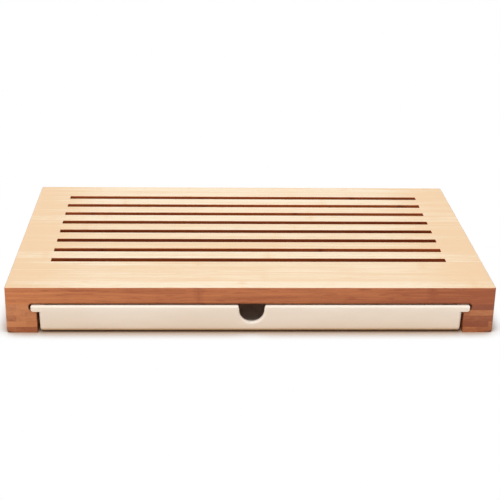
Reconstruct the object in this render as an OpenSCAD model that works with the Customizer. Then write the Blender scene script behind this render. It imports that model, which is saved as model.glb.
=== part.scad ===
// Bread board with a slotted bamboo top and a crumb tray that slides out at the front.
// Sizes are in millimetres. +X runs along the board, +Y to its back and +Z up.
// The origin is on the worktop, under the middle of the whole outline with the tray shut.

/* [Top] */
// Length of the board, left to right
board_w = 400; // [320:1:520]
// Thickness of the slotted top
top_t = 14.8; // [10:0.1:24]
// Front to back width of the plain front board
front_board_d = 55.8; // [40:0.1:90]
// Front to back width of the plain back board
back_board_d = 28.1; // [25:0.1:60]
// Front to back width of one slat
slat_d = 15.5; // [10:0.1:30]
// Number of slots
slot_n = 8; // [5:1:11]
// Width of one slot
slot_w = 7.2; // [4.5:0.1:9]
// Length of the block that closes each end of a slot
spacer_l = 31; // [29:0.5:60]
// Rounding of the board's four upright corners
corner_r = 1.5; // [0.5:0.1:4]
// Rounding of the board's edges
edge_r = 0.8; // [0.4:0.1:2]

/* [Rails] */
// Height of the rails, from the worktop to the underside of the top
rail_h = 25.2; // [22:0.1:40]
// Width of a side rail, left to right
rail_w = 25; // [18:0.5:28]
// Rounding of the bottom edge along the outside of a side rail
foot_r = 2.4; // [1:0.1:5]
// Thickness of the back rail, front to back
back_rail_t = 20; // [12:0.5:22]
// Height of the groove for the tray's rim
groove_h = 6.2; // [5.8:0.1:10]
// Depth of the groove into a side rail
groove_d = 6.5; // [6:0.1:12]

/* [Tray] */
// How far the tray's front stands out in front of the board
proud = 1.2; // [0:0.1:6]
// Thickness of the tray's walls and floor
wall_t = 3; // [2:0.1:4]
// Rounding of the thick rim's front edge and of its lower edge along the rails
rim_r = 1.8; // [0.5:0.1:2.2]
// Rounding of the rim's upper edge along the rails
rim_top_r = 1.4; // [0.5:0.1:2.2]
// Rounding of the tub's bottom edges
tub_r = 3; // [2:0.1:5]
// Rounding of the tub's upright corners
tub_corner_r = 2.5; // [2:0.1:9]
// Lean of the tub's walls, in degrees
draft = 1.5; // [0.5:0.5:6]
// Radius of the finger notch
notch_r = 10.3; // [7:0.1:11]
// Depth of the finger notch below the rim
notch_depth = 14.8; // [12:0.1:16]
// Extra half width of the finger notch at the rim
notch_flare = 1.1; // [0:0.1:3]

/* [Clearances] */
// Gap between the rim and the groove's ledge
seat_gap = 0.2; // [0.1:0.05:0.4]
// Gap between the rim and the underside of the top
top_gap = 0.8; // [0.5:0.1:1.4]
// Gap between the rim's end and the groove's upright wall
end_gap = 1.9; // [0.5:0.1:2.2]
// Gap between the tub and the side rails, at the rim
side_gap = 1.9; // [0.5:0.1:2.4]
// Gap between the tub and the worktop
floor_gap = 1.6; // [0.8:0.1:3]
// Gap between the closed tray and the back rail
stop_gap = 0.4; // [0.2:0.1:1]

/* [Hidden] */
$fn = 48;
over = 1; // how far a cutter runs past the face that it cuts
blond = [0.93, 0.80, 0.60];
caramel = [0.72, 0.45, 0.28];
cream = [0.93, 0.88, 0.79];

slat_n = slot_n - 1;
slot_pitch = slot_w + slat_d;
board_d = front_board_d + slot_n * slot_w + slat_n * slat_d + back_board_d;
board_h = rail_h + top_t;
left = -board_w / 2;
front = (proud - board_d) / 2; // front of the board
back = front + board_d;
first_slot_y = front + front_board_d;

ledge_z = rail_h - groove_h;
bay_w = board_w - 2 * rail_w; // clear width between the side rails
tray_front = front - proud;
tray_d = proud + board_d - back_rail_t - stop_gap;
rim_w = bay_w + 2 * (groove_d - end_gap);
rim_z = ledge_z + seat_gap; // underside of the rim
rim_top_z = rail_h - top_gap;
rim_h = rim_top_z - rim_z;
tub_w = bay_w - 2 * side_gap;

// Rectangle about its middle, with round corners: r above, low_r below
module eased_rect(w, h, r, low_r) {
    module corner(x, y, r) {
        translate([x * (w / 2 - r), y * (h / 2 - r)]) circle(r);
    }
    polygon([
        [-w / 2, low_r - h / 2], [low_r - w / 2, -h / 2], [w / 2 - low_r, -h / 2], [w / 2, low_r - h / 2],
        [w / 2, h / 2 - r], [w / 2 - r, h / 2], [r - w / 2, h / 2], [-w / 2, h / 2 - r]
    ]);
    for (x = [-1, 1]) {
        corner(x, 1, r);
        corner(x, -1, low_r);
    }
}

// Extrusions about the origin whose flat shape is seen from the right, and from the front
module along_x(length) {
    rotate([90, 0, 90]) linear_extrude(length, center = true) children();
}

module along_y(length) {
    rotate([90, 0, 0]) linear_extrude(length, center = true) children();
}

// The sanded outside of the whole board, which trims every bamboo piece
module board_outline() {
    translate([0, front + board_d / 2, 0]) intersection() {
        linear_extrude(board_h) eased_rect(board_w, board_d, corner_r, corner_r);
        translate([0, 0, board_h / 2]) along_x(board_w) eased_rect(board_d, board_h, edge_r, edge_r);
        translate([0, 0, board_h / 2]) along_y(board_d) eased_rect(board_w, board_h, edge_r, foot_r);
    }
}

module sanded() {
    intersection() {
        children();
        board_outline();
    }
}

// A full-length bar of the top that starts at y
module top_bar(y, d) {
    color(blond) sanded() translate([left, y, rail_h]) cube([board_w, d, top_t]);
}

module front_board() {
    top_bar(front, front_board_d);
}

module back_board() {
    top_bar(back - back_board_d, back_board_d);
}

// Slats and slots are counted from the front
module slat(i) {
    top_bar(first_slot_y + i * slot_w + (i - 1) * slat_d, slat_d);
}

// The block that closes slot i at its left end (side -1) or right end (side 1)
module spacer(i, side) {
    x = side < 0 ? left : -left - spacer_l;
    color(blond) sanded()
        translate([x, first_slot_y + (i - 1) * slot_pitch, rail_h]) cube([spacer_l, slot_w, top_t]);
}

// Side rail with the groove that the top closes from above
module left_rail() {
    color(caramel) sanded() difference() {
        translate([left, front, 0]) cube([rail_w, board_d, rail_h]);
        translate([left + rail_w - groove_d, front - over, ledge_z])
            cube([groove_d + over, board_d + 2 * over, groove_h + over]);
    }
}

module right_rail() {
    mirror([1, 0, 0]) left_rail();
}

// Back rail between the side rails, with a tongue at each end that plugs the groove
module back_rail() {
    tongued_w = bay_w + 2 * groove_d;
    color(caramel) sanded() translate([0, back - back_rail_t, 0]) {
        translate([-bay_w / 2, 0, 0]) cube([bay_w, back_rail_t, rail_h]);
        translate([-tongued_w / 2, 0, ledge_z]) cube([tongued_w, back_rail_t, groove_h]);
    }
}

// Upright section of the tub: leaning sides, span apart at high_z, and round bottom corners
module tub_section(span, low_z, high_z, r) {
    foot_half = span / 2 - tan(draft) * (high_z - low_z);
    round_x = foot_half + r * tan(draft) - r / cos(draft);
    round_z = low_z + r;
    half = [
        [round_x, low_z],
        [round_x + r * cos(draft), round_z - r * sin(draft)],
        [span / 2, high_z]
    ];
    polygon(concat(half, [for (i = [2 : -1 : 0]) [-half[i].x, half[i].y]]));
    for (side = [-1, 1])
        translate([side * round_x, round_z]) circle(r);
}

// Leaning tub from low_z to high_z, whose plan at high_z is inset from the tray's outside
module tub(inset, low_z, high_z, r) {
    span_x = tub_w - 2 * inset;
    span_y = tray_d - 2 * inset;
    translate([0, tray_front + tray_d / 2, 0]) intersection() {
        along_y(span_y) tub_section(span_x, low_z, high_z, r);
        along_x(span_x) tub_section(span_y, low_z, high_z, r);
        linear_extrude(high_z) eased_rect(span_x, span_y, tub_corner_r, tub_corner_r);
    }
}

// Thick rim, round along its ends, its upright corners and its upper edges
module rim_block() {
    translate([0, tray_front + tray_d / 2, rim_top_z - rim_h / 2]) intersection() {
        along_y(tray_d) eased_rect(rim_w, rim_h, rim_top_r, rim_r);
        along_x(rim_w) rim_end_section();
        linear_extrude(rim_h, center = true) eased_rect(rim_w, tray_d, rim_r, rim_r);
    }
}

// The rim seen from its right end: square below, where the front and back walls run on
module rim_end_section() {
    eased_rect(tray_d, rim_h, rim_r, rim_r);
    translate([-tray_d / 2, -rim_h / 2]) square([tray_d, rim_h / 2]);
}

// Finger notch seen from the front: a half round under a flared mouth
module notch_section() {
    centre_z = rim_top_z - notch_depth + notch_r;
    slope = notch_flare / (notch_depth - notch_r);
    mouth = notch_r + notch_flare + slope * over;
    translate([0, centre_z]) circle(notch_r);
    polygon([
        [-notch_r, centre_z], [notch_r, centre_z],
        [mouth, rim_top_z + over], [-mouth, rim_top_z + over]
    ]);
}

module crumb_tray() {
    notch_reach = tub_r + wall_t + tan(draft) * rim_top_z;
    color(cream) difference() {
        union() {
            tub(0, floor_gap, rim_z + over, tub_r);
            rim_block();
        }
        tub(wall_t, floor_gap + wall_t, rim_top_z + over, tub_r - wall_t / 2);
        translate([0, tray_front + notch_reach / 2 - over, 0]) along_y(notch_reach) notch_section();
    }
}

front_board();
back_board();
for (i = [1 : slat_n]) slat(i);
for (i = [1 : slot_n]) spacer(i, -1);
for (i = [1 : slot_n]) spacer(i, 1);
left_rail();
right_rail();
back_rail();
crumb_tray();
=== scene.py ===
from math import cos, pi, radians, sin, sqrt, tan

import bmesh
import bpy
from bpy.props import FloatProperty, FloatVectorProperty, PointerProperty
from mathutils import Matrix, Vector


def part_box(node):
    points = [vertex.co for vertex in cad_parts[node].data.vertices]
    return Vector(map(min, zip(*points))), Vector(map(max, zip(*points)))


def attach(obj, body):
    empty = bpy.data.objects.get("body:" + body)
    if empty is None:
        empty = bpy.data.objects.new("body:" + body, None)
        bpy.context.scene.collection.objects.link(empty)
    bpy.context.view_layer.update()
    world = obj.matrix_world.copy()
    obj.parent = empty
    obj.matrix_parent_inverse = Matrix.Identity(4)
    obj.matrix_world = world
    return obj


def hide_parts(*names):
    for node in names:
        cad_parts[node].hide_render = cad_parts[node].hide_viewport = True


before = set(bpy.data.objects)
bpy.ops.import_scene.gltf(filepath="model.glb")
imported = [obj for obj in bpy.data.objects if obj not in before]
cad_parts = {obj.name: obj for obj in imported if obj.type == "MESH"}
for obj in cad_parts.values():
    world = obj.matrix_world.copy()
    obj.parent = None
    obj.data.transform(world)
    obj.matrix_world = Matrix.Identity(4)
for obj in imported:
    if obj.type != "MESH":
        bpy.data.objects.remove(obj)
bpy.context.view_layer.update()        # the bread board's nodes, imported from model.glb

bl_info = {
    "name": "Crumb Catcher Bread Board",
    "version": (1, 0, 0),
    "blender": (4, 5, 0),
    "location": "View3D > Sidebar > Bread Board",
    "description": "Dresses a slotted bamboo bread board and its crumb tray, and sets up a studio",
    "category": "Add Mesh",
}

TOP_LOW, TOP_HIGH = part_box("front_board")[0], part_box("back_board")[1]
TRAY_LOW, TRAY_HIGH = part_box("crumb_tray")
SLATS = sorted(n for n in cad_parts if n.startswith("slat_"))
SPACERS = sorted(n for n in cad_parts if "_spacer_" in n)
SLOT_END_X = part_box("right_spacer_1")[0].x
BAY_HALF = -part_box("left_rail")[1].x
RAIL_TOP_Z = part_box("right_rail")[1].z
GROOVE_WALL_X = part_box("back_rail")[1].x
LEDGE_Z = 0.019          # upper face of the ledge that carries the tray's rim
NEAR = 1e-5              # two heights or places closer than this are the same
OVERLAP = 0.001          # how far a leaning wall is measured past the rim, and a cutter past a face

# A piece's number decides the tones of its strips and the places of its knuckles
FRONT_BOARD_NUMBER, BACK_BOARD_NUMBER = 120285, 126681
SLAT_NUMBER, SPACER_NUMBER = 29166, 31      # of the first slat and spacer; the others count on
RAIL_NUMBERS = (17470, 18616)               # left and right
BACK_RAIL_NUMBER = 71

# Strips are counted from 0 across a piece's upper and lower face, and from these numbers elsewhere
END_STRIP = 60           # on the top's cut ends, from the bottom up
SLOT_STRIP = 65          # all over a slot's walls
SIDE_STRIP = 90          # all along the front and the back
WITHIN = 0.001           # keeps a count off the whole number at a piece's edge

# Which way a face has to look, as the least size of its normal along an axis
CUT_END, LEVEL, UNDERSIDE = 0.75, 0.85, 0.6
STEEP = 0.5              # and a face that looks up less than this is a side
EDGE_REACH = 0.004       # a side face this close to the front or back isn't a slot's wall
END_REACH = 0.002        # a cut end this close to the left or right side isn't a slot's end
PARALLEL = 0.99          # an edge with this share of its length along an axis runs along it
SHARP_ANGLE = radians(40)    # an edge that turns more than this breaks the light
SQUARE_ANGLE = 1.2           # an edge that turns more than this, in radians, is a square one


def srgb(red, green, blue):
    """Scene-linear colour of a display colour given in steps of 255."""
    def linear(c):
        c /= 255
        return c / 12.92 if c <= 0.04045 else ((c + 0.055) / 1.055) ** 2.4
    return linear(red), linear(green), linear(blue)


def length(name, description, default):
    return FloatProperty(name=name, description=description, default=default,
                         min=0.0, unit="LENGTH", precision=5)


def angle(name, description, degrees):
    return FloatProperty(name=name, description=description, default=radians(degrees), subtype="ANGLE")


def place(name, description, default, subtype="TRANSLATION"):
    return FloatVectorProperty(name=name, description=description, default=default, size=3,
                               subtype=subtype, precision=5)


def colour(name, description, default):
    return FloatVectorProperty(name=name, description=description, default=default, size=3,
                               min=0.0, max=1.0, subtype="COLOR")


def share(name, description, default, top=1.0):
    return FloatProperty(name=name, description=description, default=default, min=0.0, max=top)


class BreadBoardSizes(bpy.types.PropertyGroup):
    """Roundings of the bamboo pieces"""
    edge_round: length("Edge", "Rounding of the top's outer edges", 0.0008)
    slot_round: length("Slot edge", "Rounding of the long edges of the slots", 0.0004)
    brow_round: length("Brow", "Rounding of the front board's lower edge, over the tray", 0.0024)
    corner_round: length("Corner", "Rounding of the board's upright corners", 0.0015)
    foot_round: length("Foot", "Rounding of the bottom edge along a side rail", 0.0024)
    inner_round: length("Inner edge", "Rounding of a rail's edges towards the tray", 0.00045)
    cove: length("Upper cove", "Hollow rounding in the upper corner of a rail's groove", 0.0018)
    low_cove: length("Lower cove", "Hollow rounding in the lower corner of a rail's groove", 0.0032)
    strip: length("Strip", "Width of one glued strip of bamboo", 0.0145)
    layer: length("Layer", "Thickness of one glued strip of bamboo", 0.0052)


class CrumbTraySizes(bpy.types.PropertyGroup):
    """Sizes of the moulded tray"""
    wall: length("Wall", "Thickness of the walls and the floor", 0.003)
    rim_under_z: length("Rim underside", "Height of the rim's underside above the worktop", 0.0192)
    side_gap: length("Side gap", "Gap between the tub and a side rail", 0.0019)
    rim_round: length("Rim, lower", "Rounding of the rim's lower edge along the rails", 0.0015)
    rim_corner: length("Rim corner", "Rounding of the rim's four upright corners", 0.001)
    rim_top_round: length("Rim, upper", "Rounding of the rim's upper edge along the rails", 0.0014)
    front_round: length("Front rim", "Rounding of the rim's upper front edge", 0.0018)
    inner_round: length("Inner rim", "Rounding of the rim's upper inner edge", 0.0006)
    foot_round: length("Foot", "Rounding of the tub's bottom edges along the rails", 0.003)
    front_foot_round: length("Front foot", "Rounding of the tub's bottom edges, front and back", 0.0034)
    bowl_round: length("Bowl", "Rounding between the tub's floor and walls, inside", 0.0015)
    corner_round: length("Corner", "Rounding of the tub's upright corners", 0.0025)
    lean: angle("Lean", "Lean of the tub's walls", 1.5)
    notch_radius: length("Notch radius", "Radius of the finger notch", 0.0103)
    notch_depth: length("Notch depth", "Depth of the finger notch below the rim", 0.0148)
    notch_flare: length("Notch flare", "Extra half width of the finger notch at the rim", 0.0011)
    notch_round: length("Notch edge", "Width of the round front edge of the finger notch", 0.0022)
    notch_ease: length("Notch ease", "Depth of the round front edge of the finger notch", 0.0009)
    notch_top_round: length("Notch corner", "Rounding of the finger notch's two upper corners", 0.0011)


class BambooFinish(bpy.types.PropertyGroup):
    """Colours of the oiled bamboo"""
    top_light: colour("Top, light", "Lighter strips of the top", srgb(254, 236, 207))
    top_dark: colour("Top, dark", "Darker strips and fibres of the top", srgb(243, 208, 166))
    # Painted shade: the edges, cut ends and rails are darker, more orange copies of the top's bamboo,
    # standing for the lesser light on faces that look sideways
    edge_light: colour("Edge, light", "Lighter fibres of the front and back edges", srgb(206, 129, 79))
    edge_dark: colour("Edge, dark", "Darker fibres of the front and back edges", srgb(156, 83, 50))
    rail_light: colour("Rail, light", "Lighter layers of the rails", srgb(204, 134, 88))
    rail_dark: colour("Rail, dark", "Darker layers of the rails", srgb(144, 78, 52))
    # Painted shade: the slots' walls are darker than the edges, for the shade inside the slots
    slot_light: colour("Slot, light", "Lighter fibres of the slots' walls", srgb(196, 98, 42))
    slot_dark: colour("Slot, dark", "Darker fibres of the slots' walls", srgb(130, 52, 18))
    # Painted shade: the underside is greyer and darker than the bamboo, so that the bay under the top looks
    # darker
    under_light: colour("Underside, light", "Lighter fibres of the top's underside", srgb(150, 138, 124))
    under_dark: colour("Underside, dark", "Darker fibres of the top's underside", srgb(120, 108, 94))
    gloss: share("Roughness", "Roughness of the oiled surface", 0.4)


class CrumbTrayFinish(bpy.types.PropertyGroup):
    """Colours of the moulded tray"""
    cream: colour("Cream", "Colour of the moulding", srgb(246, 235, 222))
    shade: colour("Shade", "Colour of its slightly darker patches", srgb(242, 230, 215))
    gloss: share("Roughness", "Roughness of the satin moulding", 0.38)


class StudioSettings(bpy.types.PropertyGroup):
    """Light, floor and camera"""
    sky: share("Sky", "Strength of the even light from all round", 0.34, 4.0)
    key: share("Key", "Strength of the wide lamp above the front", 2.12, 20.0)
    key_angle: angle("Key angle", "Width of the lamp above the front", 45)
    key_from: place("Key direction", "Where the lamp's light comes from", (-0.2, -0.3, 0.93), "DIRECTION")
    fill: share("Fill", "Power of the low lamp in front", 5.7, 100.0)
    fill_at: place("Fill place", "Place of the low lamp in front", (-0.2, -1.6, 0.16))
    sheen: share("Sheen", "Power of the lamp behind, which shows only in reflections", 0.4, 100.0)
    sheen_at: place("Sheen place", "Place of the lamp behind", (0.0, 1.1, 0.54))
    floor: colour("Floor", "Colour of the worktop where the board shades it", (0.51, 0.397, 0.308))
    bounce: colour("Bounce", "Colour of the light that the open worktop throws back", (0.8, 0.76, 0.7))
    near_bounce: colour("Near bounce", "The same close to the board", (0.4, 0.19, 0.0))
    shade_reach: length("Shade", "How far the board's contact shadow reaches", 0.018)
    roof_reach: length("Roof", "How far the board dims the worktop below it and the bounce beside it", 0.05)
    camera_at: place("Camera", "Place of the camera", (-0.0403, -1.0099, 0.4309))
    pitch: angle("Pitch", "How far the camera looks down", 21.978)
    yaw: angle("Yaw", "How far the camera turns to the right", 2.453)
    roll: angle("Roll", "How far the camera leans", -1.028)
    lens: FloatProperty(name="Lens", description="Focal length of the camera", default=85.94,
                        subtype="DISTANCE_CAMERA")


# Shader trees

def add(tree, kind, inputs=None, **settings):
    """A new node in tree; inputs maps its sockets to values or to other nodes' outputs."""
    made = tree.nodes.new(kind)
    for name, value in settings.items():
        setattr(made, name, value)
    for key, value in (inputs or {}).items():
        if isinstance(value, bpy.types.NodeSocket):
            tree.links.new(value, made.inputs[key])
        else:
            made.inputs[key].default_value = value
    return made


def calc(tree, operation, *values, clamp=False):
    """Output of a Math node."""
    made = add(tree, "ShaderNodeMath", dict(enumerate(values)), operation=operation, use_clamp=clamp)
    return made.outputs[0]


def stretched(tree, vector, waves):
    """The vector times the waves to a metre on each axis."""
    return add(tree, "ShaderNodeVectorMath", {0: vector, 1: waves}, operation="MULTIPLY").outputs[0]


def noise(tree, vector, waves, detail=2.0):
    """Cloudy values about 0.5 with so many waves to a metre along each axis."""
    inputs = {"Vector": stretched(tree, vector, waves), "Scale": 1.0, "Detail": detail, "Roughness": 0.55}
    return add(tree, "ShaderNodeTexNoise", inputs).outputs["Fac"]


def fade(tree, value, start, end):
    """1 at start and 0 at end, smooth between."""
    limits = {"Value": value, "From Min": start, "From Max": end, "To Min": 1.0, "To Max": 0.0}
    return add(tree, "ShaderNodeMapRange", limits, interpolation_type="SMOOTHSTEP").outputs["Result"]


def blended(tree, amount, a, b):
    """Colour a where amount is 0 and b where it is 1."""
    return add(tree, "ShaderNodeMix", {0: amount, 6: a, 7: b}, data_type="RGBA").outputs[2]


def new_group(name, inputs, outputs):
    """An empty node group with named sockets, and its input and output nodes."""
    tree = bpy.data.node_groups.new(name, "ShaderNodeTree")
    for kind, rows in (("INPUT", inputs), ("OUTPUT", outputs)):
        for label, socket_type in rows:
            tree.interface.new_socket(label, in_out=kind, socket_type="NodeSocket" + socket_type)
    return tree, tree.nodes.new("NodeGroupInput").outputs, tree.nodes.new("NodeGroupOutput").inputs


def blank_material(name):
    """A new material and its empty node tree."""
    material = bpy.data.materials.new(name)
    material.use_nodes = True
    material.node_tree.nodes.clear()
    return material, material.node_tree


def seen(tree):
    """Whether a ray is the camera's, a gloss's or a clear piece's, and whether the camera's, as 0 or 1."""
    path = add(tree, "ShaderNodeLightPath").outputs
    mirrored = calc(tree, "MAXIMUM", path["Is Glossy Ray"], path["Is Transmission Ray"])
    return calc(tree, "MAXIMUM", path["Is Camera Ray"], mirrored), path["Is Camera Ray"]


GRAIN_INPUTS = [
    ("Grain", "Vector"), ("Strip", "Float"), ("Piece", "Float"), ("Light", "Color"), ("Dark", "Color"),
    ("Strip Contrast", "Float"), ("Fibre Contrast", "Float"), ("Knuckles", "Float"),
    ("Roughness", "Float"), ("Drift", "Float"), ("End Shade", "Float"),
]
GRAIN_OUTPUTS = [("Color", "Color"), ("Roughness", "Float"), ("Height", "Float")]
KNUCKLE_GAP = 0.191      # from one knuckle of a bamboo cane to the next
KNUCKLE_LINE, KNUCKLE_SHADE = 0.007, 0.035  # half widths of its line and of the shade round it, in gaps
KNUCKLE_FREE = 0.45      # share of the strips with no knuckle
KNUCKLE_SPREAD = 17.0    # a strip's knuckles start up to this many gaps along
KNUCKLE_BEND = 0.04      # how far the streaks bend a knuckle, in gaps
LINE_WEIGHT = 0.8        # of a knuckle's line beside its shade
STRIP_ROOM = 100.0       # a piece's seeds lie this far from the next one's, one to each strip
BRICK_WIDTH = 0.0165     # width of one strip as it shows on a cut end
BRICK_START = 0.2        # the bricks are counted from this far before the middle
BRICK_STAGGER = 0.5      # from one layer to the next, in bricks
LAYER_SEAM, BRICK_SEAM = 0.06, 0.02     # half widths of the glue lines, in layers and in bricks
END_SHADE_REACH = (0.195, 0.125)  # painted shade: the top's ends are darker, this far from the middle fully, and here not at all

# How light bamboo is before its pattern, from 0, dark, to 1, and how far each pattern moves that
LONG_LEVEL, CLOUD_WEIGHT, BAND_WEIGHT, FLECK_DEPTH = 0.55, 0.6, 0.5, 0.35
END_LEVEL, BRICK_WEIGHT, CUT_WEIGHT, SEAM_DEPTH = 0.5, 0.7, 0.25, 0.25
# Values of a pattern where a fleck, fibre bundle or patch is full and where there is none
FLECK_LIMITS, BUNDLE_LIMITS, PATCH_LIMITS = (0.3, 0.42), (0.12, 0.42), (0.35, 0.65)
# Shares of the patterns in the bump's height and in the roughness
STREAK_HEIGHT, FINE_HEIGHT, BUNDLE_HEIGHT, CUT_HEIGHT = 0.5, 0.6, -0.6, 0.5
FIBRE_ROUGHNESS, SCUFF_ROUGHNESS = 0.2, 0.16

# Waves to a metre, along the fibres and twice across them
FINE_WAVES, STREAK_WAVES, DASH_WAVES = (26, 1500, 1500), (6, 330, 330), (70, 900, 900)
BAND_WAVES, CLOUD_WAVES = (4, 170, 170), (9, 16, 16)
BUNDLE_WAVES, SMEAR_WAVES, CUT_WAVES = (60, 900, 1150), (40, 160, 420), (120, 2100, 2100)
# And along the tray's own axes
FLOW_WAVES, SATIN_WAVES, SCUFF_WAVES = (14, 14, 40), (2600, 2600, 2600), (60, 900, 900)


def strip_chance(tree, given):
    """Three chance values that are the same all over one strip of one piece."""
    seed = calc(tree, "MULTIPLY_ADD", given["Piece"], STRIP_ROOM, calc(tree, "FLOOR", given["Strip"]))
    chance = add(tree, "ShaderNodeTexWhiteNoise", {"W": seed}, noise_dimensions="1D").outputs["Color"]
    return chance, add(tree, "ShaderNodeSeparateColor", {0: chance}).outputs


def moved(tree, vector, by):
    return add(tree, "ShaderNodeVectorMath", {0: vector, 1: by}, operation="ADD").outputs[0]


def about(tree, value, weight, level):
    """The level, raised by weight where value is 1 and lowered as much where it is 0."""
    return calc(tree, "MULTIPLY_ADD", calc(tree, "SUBTRACT", value, 0.5), weight, level)


def long_grain():
    """Group for bamboo seen along its fibres, which run along x: strips, streaks and knuckles."""
    name = "bamboo_long_grain"
    if name in bpy.data.node_groups:
        return bpy.data.node_groups[name]
    tree, given, out = new_group(name, GRAIN_INPUTS, GRAIN_OUTPUTS)
    chance, (tone, phase, pick) = strip_chance(tree, given)
    shift = moved(tree, given["Grain"], chance)
    fine = noise(tree, shift, FINE_WAVES, 3.0)
    streak = noise(tree, shift, STREAK_WAVES)
    dash = noise(tree, shift, DASH_WAVES, 1.0)
    band = noise(tree, shift, BAND_WAVES, 1.0)
    cloud = noise(tree, given["Grain"], CLOUD_WAVES, 1.0)

    along = add(tree, "ShaderNodeSeparateXYZ", {0: given["Grain"]}).outputs[0]
    start = calc(tree, "MULTIPLY", phase, KNUCKLE_SPREAD)
    cane = calc(tree, "MULTIPLY_ADD", along, 1 / KNUCKLE_GAP, start)
    off = calc(tree, "ABSOLUTE", calc(tree, "SUBTRACT", calc(tree, "FRACT", cane), 0.5))
    off = about(tree, streak, KNUCKLE_BEND, off)
    line, shade = fade(tree, off, 0.0, KNUCKLE_LINE), fade(tree, off, 0.0, KNUCKLE_SHADE)
    knuckle = calc(tree, "MULTIPLY_ADD", line, LINE_WEIGHT, shade)
    knuckle = calc(tree, "MULTIPLY", knuckle, calc(tree, "GREATER_THAN", pick, KNUCKLE_FREE))
    knuckle = calc(tree, "MULTIPLY", knuckle, given["Knuckles"])

    level = about(tree, tone, given["Strip Contrast"], LONG_LEVEL)
    fibres = calc(tree, "ADD", calc(tree, "SUBTRACT", fine, 0.5), calc(tree, "SUBTRACT", streak, 0.5))
    level = calc(tree, "MULTIPLY_ADD", fibres, given["Fibre Contrast"], level)
    flecks = calc(tree, "MULTIPLY", fade(tree, dash, *FLECK_LIMITS), given["Fibre Contrast"])
    level = calc(tree, "MULTIPLY_ADD", flecks, -FLECK_DEPTH, level)
    level = about(tree, cloud, CLOUD_WEIGHT, level)
    level = about(tree, band, calc(tree, "MULTIPLY", given["Fibre Contrast"], BAND_WEIGHT), level)
    level = calc(tree, "MULTIPLY_ADD", along, given["Drift"], level)
    # painted shade: the colour darkens towards the top's ends
    end_shading = calc(tree, "MULTIPLY", fade(tree, calc(tree, "ABSOLUTE", along), *END_SHADE_REACH), given["End Shade"])
    level = calc(tree, "SUBTRACT", level, end_shading)
    level = calc(tree, "SUBTRACT", level, knuckle, clamp=True)
    tree.links.new(blended(tree, level, given["Dark"], given["Light"]), out["Color"])
    rough = calc(tree, "MULTIPLY_ADD", fine, FIBRE_ROUGHNESS, given["Roughness"])
    tree.links.new(rough, out["Roughness"])
    height = calc(tree, "MULTIPLY_ADD", streak, STREAK_HEIGHT, calc(tree, "MULTIPLY", fine, FINE_HEIGHT))
    tree.links.new(height, out["Height"])
    return tree


def end_grain():
    """Group for bamboo seen on its cut ends, which lie across x: bricks along y, with fibre bundles."""
    name = "bamboo_end_grain"
    if name in bpy.data.node_groups:
        return bpy.data.node_groups[name]
    tree, given, out = new_group(name, GRAIN_INPUTS, GRAIN_OUTPUTS)
    chance, parts = strip_chance(tree, given)
    layer = calc(tree, "FLOOR", given["Strip"])
    across = add(tree, "ShaderNodeSeparateXYZ", {0: given["Grain"]}).outputs[1]
    stagger = calc(tree, "MULTIPLY_ADD", calc(tree, "PINGPONG", layer, 1.0),
                   BRICK_STAGGER, -BRICK_STAGGER)
    brick = calc(tree, "MULTIPLY_ADD", calc(tree, "ADD", across, BRICK_START), 1 / BRICK_WIDTH, stagger)
    names = {0: calc(tree, "FLOOR", brick), 1: layer, 2: given["Piece"]}
    name_of_brick = add(tree, "ShaderNodeCombineXYZ", names).outputs[0]
    brick_tone = add(tree, "ShaderNodeTexWhiteNoise", {"Vector": name_of_brick}, noise_dimensions="3D")

    shift = moved(tree, given["Grain"], chance)
    cells = {"Vector": stretched(tree, shift, BUNDLE_WAVES), "Scale": 1.0}
    bundles = add(tree, "ShaderNodeTexVoronoi", cells).outputs["Distance"]
    bundle = calc(tree, "MULTIPLY", fade(tree, bundles, *BUNDLE_LIMITS), given["Knuckles"])
    smear = noise(tree, shift, SMEAR_WAVES)
    fine = noise(tree, shift, CUT_WAVES)

    def seam(count, width):
        edge = calc(tree, "ABSOLUTE", calc(tree, "SUBTRACT", calc(tree, "FRACT", count), 0.5))
        return fade(tree, edge, 0.5, 0.5 - width)

    level = about(tree, parts[0], given["Strip Contrast"], END_LEVEL)
    brick_contrast = calc(tree, "MULTIPLY", given["Strip Contrast"], BRICK_WEIGHT)
    level = about(tree, brick_tone.outputs["Value"], brick_contrast, level)
    level = about(tree, smear, given["Fibre Contrast"], level)
    level = about(tree, fine, CUT_WEIGHT, level)
    level = calc(tree, "MULTIPLY_ADD", across, given["Drift"], level)
    seams = calc(tree, "MAXIMUM", seam(given["Strip"], LAYER_SEAM), seam(brick, BRICK_SEAM))
    level = calc(tree, "MULTIPLY_ADD", seams, -SEAM_DEPTH, level)
    level = calc(tree, "SUBTRACT", level, bundle, clamp=True)
    tree.links.new(blended(tree, level, given["Dark"], given["Light"]), out["Color"])
    rough = calc(tree, "MULTIPLY_ADD", fine, FIBRE_ROUGHNESS, given["Roughness"])
    tree.links.new(rough, out["Roughness"])
    height = calc(tree, "MULTIPLY_ADD", bundle, BUNDLE_HEIGHT, calc(tree, "MULTIPLY", fine, CUT_HEIGHT))
    tree.links.new(height, out["Height"])
    return tree


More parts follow.
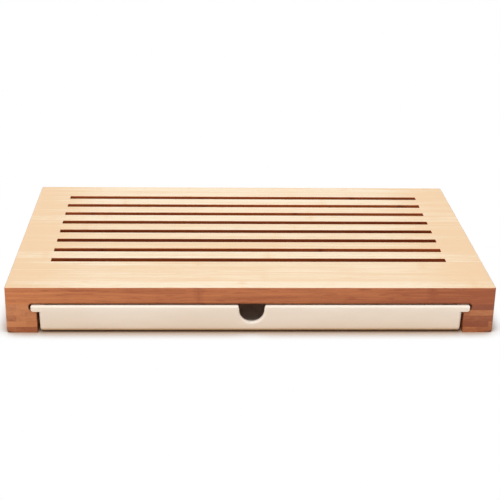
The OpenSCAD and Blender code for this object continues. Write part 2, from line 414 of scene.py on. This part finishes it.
def bamboo(name, group, light, dark, gloss, fibre="X", strips=0.6, fibres=0.9, knuckles=0.35,
           drift=0.0, end_shade=0.0):
    """Bamboo whose fibres run along one axis of the board; group is long_grain or end_grain."""
    if name in bpy.data.materials:
        return bpy.data.materials[name]
    material, tree = blank_material(name)
    at = add(tree, "ShaderNodeTexCoord").outputs["Object"]
    x, y, z = add(tree, "ShaderNodeSeparateXYZ", {0: at}).outputs
    order = {"X": (x, y, z), "Y": (y, x, z)}[fibre]
    grain = add(tree, "ShaderNodeCombineXYZ", dict(enumerate(order))).outputs[0]
    strip, number = (add(tree, "ShaderNodeAttribute", attribute_name=word).outputs["Fac"]
                     for word in ("strip", "piece"))
    look = add(tree, "ShaderNodeGroup", {
        "Grain": grain, "Strip": strip, "Piece": number, "Light": (*light, 1), "Dark": (*dark, 1),
        "Strip Contrast": strips, "Fibre Contrast": fibres, "Knuckles": knuckles,
        "Roughness": gloss, "Drift": drift, "End Shade": end_shade}, node_tree=group()).outputs
    bump = add(tree, "ShaderNodeBump", {"Strength": 0.35, "Distance": 0.00012, "Height": look["Height"]})
    shader = add(tree, "ShaderNodeBsdfPrincipled", {
        "Base Color": look["Color"], "Roughness": look["Roughness"],
        "Normal": bump.outputs[0], "Specular IOR Level": 0.35})
    add(tree, "ShaderNodeOutputMaterial", {"Surface": shader.outputs[0]})
    return material


FACE, EDGE, SLOT, END, UNDER = range(5)


def top_materials(finish):
    """Materials of the top's pieces in the order FACE, EDGE, SLOT, END, UNDER."""
    # Name, grain, two colours, contrast of strips and of fibres, drift to the right, painted shade at the
    # ends
    kinds = (
        ("bamboo_top_face", long_grain, finish.top_light, finish.top_dark, 0.95, 2.7, 0.0, 0.78),
        # painted shade on the front and back edges, which take the darker side colours
        ("bamboo_top_edge", long_grain, finish.edge_light, finish.edge_dark, 0.5, 1.5, -1.8, 0.0),
        # painted shade inside the slots
        ("bamboo_slot_wall", long_grain, finish.slot_light, finish.slot_dark, 0.8, 1.0, 0.0, 0.0),
        # painted shade on the cut ends, which take the darker side colours
        ("bamboo_top_end", end_grain, finish.edge_light, finish.edge_dark, 0.7, 0.5, 0.0, 0.0),
        # painted shade under the top
        ("bamboo_underside", long_grain, finish.under_light, finish.under_dark, 0.6, 0.8, 0.0, 0.0),
    )
    return [bamboo(name, group, light, dark, finish.gloss,
                   strips=strips, fibres=fibres, drift=drift, end_shade=end_shade)
            for name, group, light, dark, strips, fibres, drift, end_shade in kinds]


def rail_materials(finish, fibre):
    """Materials of a rail: its long sides and its cut ends."""
    # Name, grain, contrast of strips and of fibres, drift
    kinds = (
        # painted shade: both kinds take the rails' darker side colours
        ("bamboo_rail_side_", long_grain, 0.8, 0.9, 0.0),
        ("bamboo_rail_end_", end_grain, 1.25, 0.7, -0.8),
    )
    return [bamboo(name + fibre.lower(), group, finish.rail_light, finish.rail_dark, finish.gloss, fibre,
                   strips, fibres, drift=drift)
            for name, group, strips, fibres, drift in kinds]


def tray_material(finish):
    """Cream plastic with a fine satin texture, faint flow patches and light scuffs."""
    material, tree = blank_material("cream_moulding")
    at = add(tree, "ShaderNodeTexCoord").outputs["Object"]
    flow = noise(tree, at, FLOW_WAVES)
    satin = noise(tree, at, SATIN_WAVES)
    scuff = noise(tree, at, SCUFF_WAVES, 3.0)
    base = blended(tree, fade(tree, flow, *PATCH_LIMITS), (*finish.cream, 1), (*finish.shade, 1))
    rough = calc(tree, "MULTIPLY_ADD", scuff, SCUFF_ROUGHNESS, finish.gloss - SCUFF_ROUGHNESS / 2)
    bump = add(tree, "ShaderNodeBump", {"Strength": 0.12, "Distance": 0.00006, "Height": satin})
    shader = add(tree, "ShaderNodeBsdfPrincipled", {
        "Base Color": base, "Roughness": rough, "Normal": bump.outputs[0], "Specular IOR Level": 0.45})
    add(tree, "ShaderNodeOutputMaterial", {"Surface": shader.outputs[0]})
    return material


# Mesh work

def block(low, high):
    """A bmesh holding one box."""
    bm = bmesh.new()
    fitted = Matrix.Translation((low + high) / 2) @ Matrix.Diagonal((*(high - low), 1))
    bmesh.ops.create_cube(bm, size=1.0, matrix=fitted)
    return bm


def cut_across(bm, axis, *distances):
    """Cuts every face at these distances along an axis, so that part of an edge can be rounded alone."""
    normal = Vector((axis == 0, axis == 1, axis == 2))
    for distance in distances:
        whole = bm.verts[:] + bm.edges[:] + bm.faces[:]
        bmesh.ops.bisect_plane(bm, geom=whole, plane_co=normal * distance, plane_no=normal)


def ease(bm, chosen, radius, segments=3):
    """Rounds the edges for which chosen is true."""
    edges = [e for e in bm.edges if chosen(e)]
    if not edges:
        raise RuntimeError("no edge to round")
    bmesh.ops.bevel(bm, geom=edges, offset=radius, offset_type="OFFSET", affect="EDGES",
                    segments=segments, profile=0.5, material=-1, clamp_overlap=True)


def both(edge, test):
    """Whether test is true of the places of both ends of an edge."""
    return all(test(v.co) for v in edge.verts)


def same(a, b):
    return abs(a - b) < NEAR


def along(edge, axis):
    """Whether an edge runs along an axis."""
    d = edge.verts[0].co - edge.verts[1].co
    return abs(d[axis]) > PARALLEL * d.length


def quarter_turn(steps):
    """Angles from 0 to a right angle, in equal steps."""
    return [pi / 2 * i / steps for i in range(steps + 1)]


def prism(outline, low_y, high_y):
    """A bmesh of an upright outline of (x, z) points, run from low_y to high_y."""
    bm = bmesh.new()
    face = bm.faces.new([bm.verts.new((x, low_y, z)) for x, z in outline])
    run = bmesh.ops.extrude_face_region(bm, geom=[face])["geom"]
    far = [v for v in run if isinstance(v, bmesh.types.BMVert)]
    bmesh.ops.translate(bm, vec=(0, high_y - low_y, 0), verts=far)
    bmesh.ops.recalc_face_normals(bm, faces=bm.faces[:])
    return bm


def piece(name, bm, materials, body, node, number=0, strip=None, flat=frozenset()):
    """Makes the object that stands for one node of the frame. Flat faces have sharp edges all round."""
    mesh = bpy.data.meshes.new(name)
    bmesh.ops.recalc_face_normals(bm, faces=bm.faces[:])
    bm.normal_update()
    for face in bm.faces:
        face.smooth = True
    for edge in bm.edges:
        edge.smooth = edge.calc_face_angle(0.0) < SHARP_ANGLE and flat.isdisjoint(edge.link_faces)
    bm.to_mesh(mesh)
    bm.free()
    for material in materials:
        mesh.materials.append(material)
    if strip:
        counts = mesh.attributes.new("strip", "FLOAT", "CORNER").data
        for face in mesh.polygons:
            for corner in face.loop_indices:
                counts[corner].value = strip(mesh.vertices[mesh.loops[corner].vertex_index].co, face.normal)
        numbers = mesh.attributes.new("piece", "FLOAT", "POINT").data
        numbers.foreach_set("value", [number] * len(mesh.vertices))
    made = bpy.data.objects.new(name, mesh)
    bpy.context.scene.collection.objects.link(made)
    even = made.modifiers.new("Even shading", "WEIGHTED_NORMAL")
    even.keep_sharp = True
    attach(made, body)
    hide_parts(node)
    return made


def count_across(low, high, width, axis):
    """Function that counts the glued strips across a piece, from 0 at low."""
    count = max(1, round((high - low) / width))
    return lambda co: WITHIN + (co[axis] - low) / (high - low) * count * (1 - WITHIN)


def by_edge(co):
    """Whether a place is at the front or back edge of the top."""
    return co.y < TOP_LOW.y + EDGE_REACH or co.y > TOP_HIGH.y - EDGE_REACH


def top_strips(sizes, low, high):
    """Counter for a piece of the top: strips on its upper and lower face, layers on its cut ends."""
    strips = count_across(low.y, high.y, sizes.strip, 1)
    layers = count_across(low.z, high.z, sizes.layer, 2)

    def count(co, normal):
        if abs(normal.x) > CUT_END:
            return END_STRIP + layers(co)
        if abs(normal.z) > LEVEL:
            return strips(co)
        return SIDE_STRIP if by_edge(co) else SLOT_STRIP
    return count


def rail_layers(sizes, low, high):
    """Counter for a rail: layers from its bottom up."""
    layers = count_across(low.z, high.z, sizes.layer, 2)
    return lambda co, normal: layers(co)


def paint_top(bm):
    """Gives each face of a piece of the top the material of its side."""
    for face in bm.faces:
        n, c = face.normal, face.calc_center_median()
        if abs(n.x) > CUT_END:
            face.material_index = END if abs(c.x) > TOP_HIGH.x - END_REACH else SLOT
        elif n.z > LEVEL:
            face.material_index = FACE
        elif by_edge(c):
            face.material_index = EDGE
        elif n.z < -UNDERSIDE:
            face.material_index = UNDER
        else:
            face.material_index = SLOT


def dress_bar(context, node, number):
    """Makes one full-length bar of the top: a slat, the front board or the back board."""
    sizes, finish = context.scene.board_sizes, context.scene.bamboo_finish
    low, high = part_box(node)
    bm = block(low, high)
    outer = [y for y in (low.y, high.y) if same(y, TOP_LOW.y) or same(y, TOP_HIGH.y)]
    inner = [y for y in (low.y, high.y) if y not in outer]
    if outer:
        ease(bm, lambda e: along(e, 2) and both(e, lambda co: same(co.y, outer[0])), sizes.corner_round, 4)
    run_out = SLOT_END_X - sizes.slot_round          # a slot's rounding runs out just before its end
    cut_across(bm, 0, -SLOT_END_X, -run_out, run_out, SLOT_END_X)
    for y in inner:                                  # a narrow strip along the slot keeps the rest flat
        cut_across(bm, 1, y + (2 if y == low.y else -2) * sizes.slot_round)
    if node == "front_board":
        brow_end = GROOVE_WALL_X - sizes.brow_round  # and the brow's just before the groove's wall
        cut_across(bm, 0, -GROOVE_WALL_X, -brow_end, brow_end, GROOVE_WALL_X)

        def on_brow(co):
            return same(co.y, low.y) and same(co.z, low.z) and abs(co.x) < brow_end + NEAR
        ease(bm, lambda e: along(e, 0) and both(e, on_brow), sizes.brow_round, 5)
    rim = [e for e in bm.edges if both(e, lambda co: same(co.z, high.z)) and len(e.link_faces) == 2
           and min(f.normal.z for f in e.link_faces) < STEEP
           and not (along(e, 0) and any(same(e.verts[0].co.y, y) for y in inner))]
    ease(bm, lambda e: e in rim, sizes.edge_round)
    for y in inner:
        def on_slot(co):
            level = same(co.z, low.z) or same(co.z, high.z)
            return level and same(co.y, y) and abs(co.x) < run_out + NEAR
        ease(bm, lambda e: along(e, 0) and both(e, on_slot), sizes.slot_round)
    bm.normal_update()
    paint_top(bm)
    run_outs = {f for f in bm.faces if len(f.verts) == 3}    # left smooth, they'd shade their neighbours
    return piece(node + "_bamboo", bm, top_materials(finish), "board", node, number,
                 top_strips(sizes, low, high), run_outs)


class BREADBOARD_OT_boards(bpy.types.Operator):
    """Makes the plain front board and back board of the top"""
    bl_idname = "bread_board.boards"
    bl_label = "Front and Back Boards"

    def execute(self, context):
        dress_bar(context, "front_board", FRONT_BOARD_NUMBER)
        dress_bar(context, "back_board", BACK_BOARD_NUMBER)
        return {"FINISHED"}


class BREADBOARD_OT_slats(bpy.types.Operator):
    """Makes the slats between the slots"""
    bl_idname = "bread_board.slats"
    bl_label = "Slats"

    def execute(self, context):
        for number, node in enumerate(SLATS, SLAT_NUMBER):
            dress_bar(context, node, number)
        return {"FINISHED"}


class BREADBOARD_OT_spacers(bpy.types.Operator):
    """Makes the short blocks that close the slots' ends"""
    bl_idname = "bread_board.spacers"
    bl_label = "Spacers"

    def execute(self, context):
        sizes, finish = context.scene.board_sizes, context.scene.bamboo_finish
        for number, node in enumerate(SPACERS, SPACER_NUMBER):
            low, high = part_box(node)
            bm = block(low, high)
            outer, inner = (high.x, low.x) if low.x > 0 else (low.x, high.x)
            for x, radius in ((outer, sizes.edge_round), (inner, sizes.slot_round)):
                ease(bm, lambda e: both(e, lambda co: same(co.x, x) and same(co.z, high.z)), radius)
            bm.normal_update()
            paint_top(bm)
            piece(node + "_bamboo", bm, top_materials(finish), "board", node, number,
                  top_strips(sizes, low, high))
        return {"FINISHED"}


def groove_points(sizes, steps=6):
    """The groove's hollow from the ledge up to the top's underside, on the right, with round corners."""
    turns = quarter_turn(steps)
    low_x, high_x = GROOVE_WALL_X - sizes.low_cove, GROOVE_WALL_X - sizes.cove
    low = [(low_x + sizes.low_cove * sin(a), LEDGE_Z + sizes.low_cove * (1 - cos(a))) for a in turns]
    high = [(high_x + sizes.cove * cos(a), RAIL_TOP_Z - sizes.cove * (1 - sin(a))) for a in turns]
    return low + high


def paint_rail(bm, axis):
    """Long sides are 0 and the cut ends, across axis, are 1."""
    for face in bm.faces:
        face.material_index = int(abs(face.normal[axis]) > CUT_END)


class BREADBOARD_OT_side_rails(bpy.types.Operator):
    """Makes the grooved rails under the ends of the top"""
    bl_idname = "bread_board.side_rails"
    bl_label = "Side Rails"

    def execute(self, context):
        sizes, finish = context.scene.board_sizes, context.scene.bamboo_finish
        for number, (node, side) in zip(RAIL_NUMBERS, (("left_rail", -1), ("right_rail", 1))):
            low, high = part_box(node)
            out_x, top = high.x if side > 0 else -low.x, high.z
            outline = [(BAY_HALF, 0), (out_x, 0), (out_x, top)]
            outline += [*reversed(groove_points(sizes)), (BAY_HALF, LEDGE_Z)]
            bm = prism([(side * x, z) for x, z in outline], low.y, high.y)
            ease(bm, lambda e: along(e, 1) and both(e, lambda co: same(abs(co.x), out_x) and same(co.z, 0)),
                 sizes.foot_round, 5)
            ends = [e for e in bm.edges
                    if any(both(e, lambda co: same(co.y, y)) for y in (low.y, high.y))]
            outside = [e for e in ends if both(e, lambda co: abs(co.x) > out_x - sizes.foot_round - NEAR)
                       and not both(e, lambda co: same(co.z, top))]
            ease(bm, lambda e: e in outside, sizes.corner_round, 4)
            ease(bm, lambda e: e.is_convex and e.calc_face_angle(0) > SQUARE_ANGLE
                 and both(e, lambda co: co.z < LEDGE_Z + NEAR), sizes.inner_round, 2)
            for v in bm.verts:                       # where roundings meet, they reach out a hair too far
                v.co.y = min(max(v.co.y, low.y), high.y)
            bm.normal_update()
            paint_rail(bm, 1)
            piece(node + "_bamboo", bm, rail_materials(finish, "Y"), "board", node, number,
                  rail_layers(sizes, low, high))
        return {"FINISHED"}


class BREADBOARD_OT_back_rail(bpy.types.Operator):
    """Makes the rail that closes the back and stops the tray"""
    bl_idname = "bread_board.back_rail"
    bl_label = "Back Rail"

    def execute(self, context):
        sizes, finish = context.scene.board_sizes, context.scene.bamboo_finish
        low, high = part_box("back_rail")
        half = [(BAY_HALF, 0), (BAY_HALF, LEDGE_Z), *groove_points(sizes)]
        bm = prism(half + [(-x, z) for x, z in reversed(half)], low.y, high.y)
        ease(bm, lambda e: along(e, 0) and both(e, lambda co: same(co.z, 0)), sizes.edge_round)
        bm.normal_update()
        paint_rail(bm, 0)
        piece("back_rail_bamboo", bm, rail_materials(finish, "X"), "board", "back_rail",
              BACK_RAIL_NUMBER, rail_layers(sizes, low, high))
        return {"FINISHED"}


CORNER_STEPS = 6         # of each of a ring's round corners
LEAST_CORNER = 0.0012    # radius of the tub's upright corners where they draw in at the bottom
LEAST_ROUND = 0.0002     # radius of an upper notch corner that has all but gone


def ring_places(inset_x, inset_y, radius):
    """Plan of a round-cornered ring, inset from the tray's box, anticlockwise from the right."""
    places = []
    high_x = TRAY_HIGH.x - inset_x - radius
    low_y, high_y = TRAY_LOW.y + inset_y + radius, TRAY_HIGH.y - inset_y - radius
    centres = ((high_x, high_y), (-high_x, high_y), (-high_x, low_y), (high_x, low_y))
    for corner, (x, y) in enumerate(centres):
        for step in range(CORNER_STEPS + 1):
            a = pi / 2 * (corner + step / CORNER_STEPS)
            places.append((x + radius * cos(a), y + radius * sin(a)))
    return places


def drawn_in(height, radius):
    """How far a round upper edge has drawn in at this height, which is measured from its top."""
    rise = max(0.0, height + radius)
    return radius - sqrt(max(0.0, radius ** 2 - rise ** 2))


def tray_rings(s):
    """Rings (height, insets along X and Y, corner radius) from the underside over the rim to the floor."""
    top, under, foot = TRAY_HIGH.z, s.rim_under_z, TRAY_LOW.z
    rim_x = TRAY_HIGH.x - (BAY_HALF - s.side_gap)   # the rim reaches this far past the tub
    lean = tan(s.lean)
    rings = []

    def bottom(floor_z, start_z, inset, side, front, turns):
        """Rings round the bottom of leaning walls, whose inset is given at start_z."""
        def reach(z, radius):
            rise = floor_z + radius - z                           # from z up to the rounding's centre
            if rise < radius * sin(s.lean):
                return inset + lean * (start_z - z)
            centre = inset + lean * (start_z - floor_z) + radius / cos(s.lean) - radius * lean
            return centre - sqrt(max(0.0, radius ** 2 - rise ** 2))

        for a in turns:
            z = floor_z + front * (1 - sin(a))
            out = reach(z, front)
            rings.append((z, rim_x + reach(z, side), out, max(s.corner_round - out + inset, LEAST_CORNER)))

    turns = [s.lean + (pi / 2 - s.lean) * i / 6 for i in range(7)]
    bottom(foot, under + OVERLAP, 0.0, s.foot_round, s.front_foot_round, reversed(turns))
    step = lean * OVERLAP
    rings.append((under, rim_x + step, step, s.corner_round))
    for a in quarter_turn(6):                                     # under and round the rim's lower half
        rings.append((under + s.rim_round * (1 - cos(a)), s.rim_round * (1 - sin(a)), 0.0, s.rim_corner))
    for a in quarter_turn(8):                                     # over the rim
        z = top - s.front_round * (1 - sin(a))
        side, front = (drawn_in(z - top, radius) for radius in (s.rim_top_round, s.front_round))
        rings.append((z, side, front, s.rim_corner))
    for a in quarter_turn(4):                                     # down over the rim's inner edge
        out = s.wall - s.inner_round * (1 - sin(a)) + step
        rings.append((top - s.inner_round * (1 - cos(a)), rim_x + out, out, s.corner_round))
    bottom(foot + s.wall, top + OVERLAP, s.wall, s.bowl_round, s.bowl_round, turns)
    return rings


def next_ring(bm, edges, verts):
    """Runs a shell's open edges on by a ring: the new edges, and the new points in the order of verts."""
    made = bmesh.ops.extrude_edge_only(bm, edges=edges)["geom"]
    edges = [g for g in made if isinstance(g, bmesh.types.BMEdge) and len(g.link_faces) == 1]
    fresh = {v for e in edges for v in e.verts}
    verts = [next(e.other_vert(v) for e in v.link_edges if e.other_vert(v) in fresh) for v in verts]
    return edges, verts


def tub_shell(sizes):
    """A closed bmesh of the tray without its finger notch, drawn up ring by ring."""
    bm = bmesh.new()
    rings = tray_rings(sizes)
    count = 4 * (CORNER_STEPS + 1)
    verts = bmesh.ops.create_circle(bm, cap_ends=True, radius=1.0, segments=count)["verts"]
    edges = [bm.edges.get((verts[i], verts[(i + 1) % count])) for i in range(count)]
    for number, (z, inset_x, inset_y, radius) in enumerate(rings):
        if number:
            edges, verts = next_ring(bm, edges, verts)
        for v, (x, y) in zip(verts, ring_places(inset_x, inset_y, radius)):
            v.co = (x, y, z)
    bm.faces.new(verts)
    bmesh.ops.recalc_face_normals(bm, faces=bm.faces[:])
    return bm


def notch_outline(s, grow=0.0, steps=14):
    """Outline of the finger notch from the front, grown all round: a half round under a flared mouth."""
    radius = s.notch_radius + grow
    corner = max(s.notch_top_round - grow, LEAST_ROUND)      # a grown outline has a sharper upper corner
    centre_z = TRAY_HIGH.z - s.notch_depth + s.notch_radius
    rise = TRAY_HIGH.z - centre_z
    side_top = TRAY_HIGH.z - corner
    right = [(radius * sin(a), centre_z - radius * cos(a)) for a in quarter_turn(steps)]
    for i in range(1, 6):                                    # the mouth opens in a slight curve
        t = (side_top - centre_z) / rise * i / 5
        right.append((radius + s.notch_flare * t ** 2, centre_z + rise * t))
    mouth = right[-1][0]
    for degrees in (20, 40, 60, 80):                         # round upper corner
        a = radians(degrees)
        right.append((mouth + corner * (1 - cos(a)), side_top + corner * sin(a)))
    right.append((right[-1][0], TRAY_HIGH.z + 2 * OVERLAP))
    return [(-x, z) for x, z in reversed(right)] + right[1:]


def notch_cutter(s):
    """A bmesh that cuts the finger notch with a round front edge, which follows the leaning front wall."""
    bm = bmesh.new()
    turns = [radians(degrees) for degrees in range(6, 91, 14)]
    steps = [(-OVERLAP, s.notch_round * (1 - sin(turns[0])))]
    steps += [(s.notch_ease * (1 - cos(a)), s.notch_round * (1 - sin(a))) for a in turns]
    steps.append((s.foot_round + 2 * s.wall, 0.0))
    for number, (depth, grow) in enumerate(steps):
        outline = notch_outline(s, grow)
        if number:
            edges, verts = next_ring(bm, edges, verts)
        else:
            verts = [bm.verts.new((x, 0, z)) for x, z in outline]
            bm.faces.new(verts)
            edges = bm.edges[:]
        for v, (x, z) in zip(verts, outline):
            lean = tan(s.lean) * max(0.0, s.rim_under_z + OVERLAP - z)
            v.co = (x, TRAY_LOW.y + depth + lean, z)
    bm.faces.new(verts)
    bmesh.ops.recalc_face_normals(bm, faces=bm.faces[:])
    return bm


def cut_by(bm, cutter):
    """The bmesh bm less the bmesh cutter."""
    made = []
    for name, source in (("whole", bm), ("cutter", cutter)):
        mesh = bpy.data.meshes.new(name)
        source.to_mesh(mesh)
        source.free()
        made.append(bpy.data.objects.new(name, mesh))
        bpy.context.scene.collection.objects.link(made[-1])
    whole, tool = made
    cut = whole.modifiers.new("Cut", "BOOLEAN")
    cut.object, cut.operation, cut.solver = tool, "DIFFERENCE", "EXACT"
    result = bmesh.new()
    result.from_object(whole, bpy.context.evaluated_depsgraph_get())
    for item in made:
        mesh = item.data
        bpy.data.objects.remove(item)
        bpy.data.meshes.remove(mesh)
    if not result.faces:
        raise RuntimeError("the cut left nothing")
    return result


class BREADBOARD_OT_crumb_tray(bpy.types.Operator):
    """Makes the moulded tray with its round rim and finger notch"""
    bl_idname = "bread_board.crumb_tray"
    bl_label = "Crumb Tray"

    def execute(self, context):
        s, finish = context.scene.tray_sizes, context.scene.tray_finish
        bm = cut_by(tub_shell(s), notch_cutter(s))
        piece("crumb_tray_moulding", bm, [tray_material(finish)], "tray", "crumb_tray")
        return {"FINISHED"}


# How open the worktop is where the shade is full and where there is none, beside and under the board
BESIDE_LIMITS, UNDER_LIMITS = (0.45, 0.96), (0.25, 0.46)
BOUNCE_LIMITS = (0.7, 0.98)      # and the same for the light that it throws back
WORKTOP_HALF = 6.0               # from the worktop's middle to its edge
FILL_SIZE, SHEEN_SIZE = (2.4, 0.25), (0.5, 0.4)      # width and height of the lamps


def pale_worktop(s):
    """White worktop that keeps a warm contact shadow close to what stands on it."""
    material, tree = blank_material("pale_worktop")
    looked_at, by_camera = seen(tree)
    beside, above = (add(tree, "ShaderNodeAmbientOcclusion", {"Distance": reach}, samples=16).outputs["AO"]
                     for reach in (s.shade_reach, s.roof_reach))
    near = calc(tree, "MAXIMUM", fade(tree, beside, *BESIDE_LIMITS), fade(tree, above, *UNDER_LIMITS))
    white = calc(tree, "MULTIPLY", looked_at, calc(tree, "SUBTRACT", 1.0, near))
    bounce = blended(tree, fade(tree, above, *BOUNCE_LIMITS), (*s.bounce, 1), (*s.near_bounce, 1))
    tint = blended(tree, by_camera, bounce, (*s.floor, 1))
    shaded = add(tree, "ShaderNodeBsdfDiffuse", {"Color": tint})
    bright = add(tree, "ShaderNodeEmission", {"Color": (1, 1, 1, 1), "Strength": 1.0})
    mixed = add(tree, "ShaderNodeMixShader", {0: white, 1: shaded.outputs[0], 2: bright.outputs[0]})
    add(tree, "ShaderNodeOutputMaterial", {"Surface": mixed.outputs[0]})
    return material


def make_worktop(scene, s):
    bm = bmesh.new()
    bmesh.ops.create_grid(bm, x_segments=1, y_segments=1, size=WORKTOP_HALF)
    mesh = bpy.data.meshes.new("worktop")
    bm.to_mesh(mesh)
    bm.free()
    worktop = bpy.data.objects.new("worktop", mesh)
    scene.collection.objects.link(worktop)
    mesh.materials.append(pale_worktop(s))


def make_sky(scene, s):
    """Even light from all round, which looks white."""
    world = bpy.data.worlds.new("white_studio")
    scene.world = world
    world.use_nodes = True
    tree = world.node_tree
    tree.nodes.clear()
    level = calc(tree, "MULTIPLY_ADD", seen(tree)[0], 1.0 - s.sky, s.sky)
    back = add(tree, "ShaderNodeBackground", {"Color": (1, 1, 1, 1), "Strength": level})
    add(tree, "ShaderNodeOutputWorld", {"Surface": back.outputs[0]})


def make_key_lamp(scene, s):
    """A wide soft sun above the front."""
    key = bpy.data.lights.new("key_lamp", "SUN")
    key.energy, key.angle = s.key, s.key_angle
    lamp = bpy.data.objects.new("key_lamp", key)
    lamp.rotation_euler = Vector(s.key_from).to_track_quat("Z", "Y").to_euler()
    scene.collection.objects.link(lamp)


def make_soft_lamp(scene, name, power, size, at):
    """A wide flat lamp that faces the board."""
    light = bpy.data.lights.new(name, "AREA")
    light.shape, light.energy = "RECTANGLE", power
    light.size, light.size_y = size
    lamp = bpy.data.objects.new(name, light)
    facing = Vector(at).to_track_quat("Z", "Y").to_matrix().to_4x4()
    lamp.matrix_world = Matrix.Translation(at) @ facing
    scene.collection.objects.link(lamp)
    return lamp


def make_camera(scene, s):
    camera = bpy.data.cameras.new("camera")
    camera.lens = s.lens
    seat = bpy.data.objects.new("camera", camera)
    seat.matrix_world = (Matrix.Translation(s.camera_at) @ Matrix.Rotation(-s.yaw, 4, "Z")
                         @ Matrix.Rotation(pi / 2 - s.pitch, 4, "X") @ Matrix.Rotation(-s.roll, 4, "Z"))
    scene.collection.objects.link(seat)
    scene.camera = seat


class BREADBOARD_OT_stage(bpy.types.Operator):
    """Makes the worktop, the studio light and the camera"""
    bl_idname = "bread_board.stage"
    bl_label = "Stage"

    def execute(self, context):
        scene, s = context.scene, context.scene.studio
        scene.view_settings.view_transform = "Standard"
        make_worktop(scene, s)
        make_sky(scene, s)
        make_key_lamp(scene, s)
        make_soft_lamp(scene, "fill_lamp", s.fill, FILL_SIZE, s.fill_at)
        make_soft_lamp(scene, "sheen_lamp", s.sheen, SHEEN_SIZE, s.sheen_at).visible_diffuse = False
        make_camera(scene, s)
        return {"FINISHED"}


class BREADBOARD_PT_panel(bpy.types.Panel):
    """Sizes, finishes and makers of the bread board"""
    bl_idname = "BREADBOARD_PT_panel"
    bl_label = "Bread Board"
    bl_space_type = "VIEW_3D"
    bl_region_type = "UI"
    bl_category = "Bread Board"

    def draw(self, context):
        for name in SETTINGS:
            box = self.layout.box()
            group = getattr(context.scene, name)
            box.label(text=SETTINGS[name].__doc__)
            for key in SETTINGS[name].__annotations__:
                box.prop(group, key)
        for maker in MAKERS:
            self.layout.operator(maker.bl_idname)


SETTINGS = {
    "board_sizes": BreadBoardSizes,
    "tray_sizes": CrumbTraySizes,
    "bamboo_finish": BambooFinish,
    "tray_finish": CrumbTrayFinish,
    "studio": StudioSettings,
}
MAKERS = (
    BREADBOARD_OT_boards,
    BREADBOARD_OT_slats,
    BREADBOARD_OT_spacers,
    BREADBOARD_OT_side_rails,
    BREADBOARD_OT_back_rail,
    BREADBOARD_OT_crumb_tray,
    BREADBOARD_OT_stage,
)


def register():
    for cls in (*SETTINGS.values(), *MAKERS, BREADBOARD_PT_panel):
        bpy.utils.register_class(cls)
    for name, cls in SETTINGS.items():
        setattr(bpy.types.Scene, name, PointerProperty(type=cls))


def unregister():
    for name in SETTINGS:
        delattr(bpy.types.Scene, name)
    for cls in (BREADBOARD_PT_panel, *reversed(MAKERS), *reversed(SETTINGS.values())):
        bpy.utils.unregister_class(cls)


def main():
    register()
    bpy.ops.bread_board.boards()
    bpy.ops.bread_board.slats()
    bpy.ops.bread_board.spacers()
    bpy.ops.bread_board.side_rails()
    bpy.ops.bread_board.back_rail()
    bpy.ops.bread_board.crumb_tray()
    bpy.ops.bread_board.stage()


if __name__ == "__main__":
    main()
